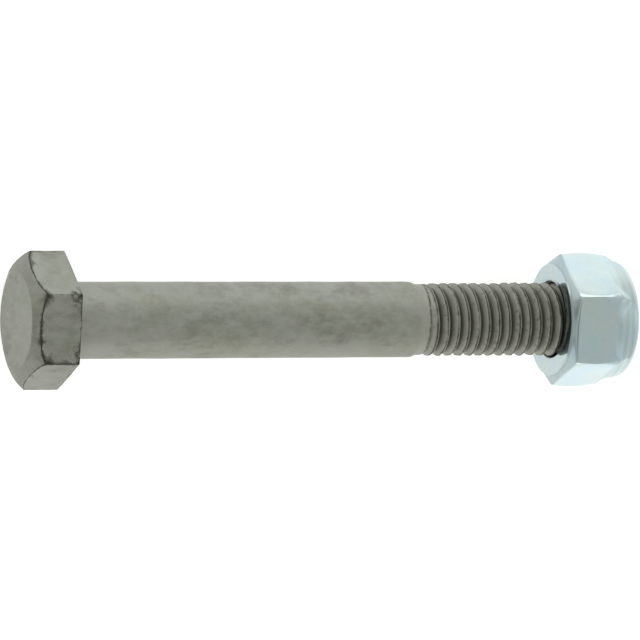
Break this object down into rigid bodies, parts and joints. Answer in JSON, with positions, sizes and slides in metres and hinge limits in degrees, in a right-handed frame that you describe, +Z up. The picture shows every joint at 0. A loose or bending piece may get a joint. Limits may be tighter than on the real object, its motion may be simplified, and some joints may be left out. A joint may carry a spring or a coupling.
{
  "type": "bolt with lock nut",
  "caption": "Partly threaded hexagon bolt lying on its side, with a collared lock nut screwed on to its end and a plastic locking ring inside the nut.",
  "frame": {"origin": "centre of the head's bearing face, on the bolt's axis", "axes": "+X along the bolt's axis from the head to the nut, +Z up, out of the head's flat that faces away from the one it lies on"},
  "size_m": [0.1019, 0.022, 0.0194],
  "materials": {
    "zinc_flake_steel": "matt grey zinc-flake coating on steel, slightly olive and mottled, worn dark along the edges",
    "bright_zinc_steel": "bright zinc plating, passivated pale blue",
    "nylon": "natural white nylon"
  },
  "bodies": {
    "bolt": {"bolt": "zinc_flake_steel"},
    "insert": {"nylon_insert": "nylon"},
    "nut": {"nut_body": "bright_zinc_steel"}
  },
  "joints": [
    {"name": "nut_travel", "type": "slide", "parent": "bolt", "child": "insert", "axis": [1, 0, 0], "range_m": [-0.0176, 0.0088], "deforming": ["nylon_insert"]},
    {"name": "nut_turn", "type": "hinge", "parent": "insert", "child": "nut", "pos_m": [0.0824, 0, 0], "axis": [1, 0, 0], "range_deg": [-3600, 1800]}
  ],
  "couplings": [
    {"joint": "nut_travel", "follows": "nut_turn", "m_per_rad": 0.00027852}
  ]
}
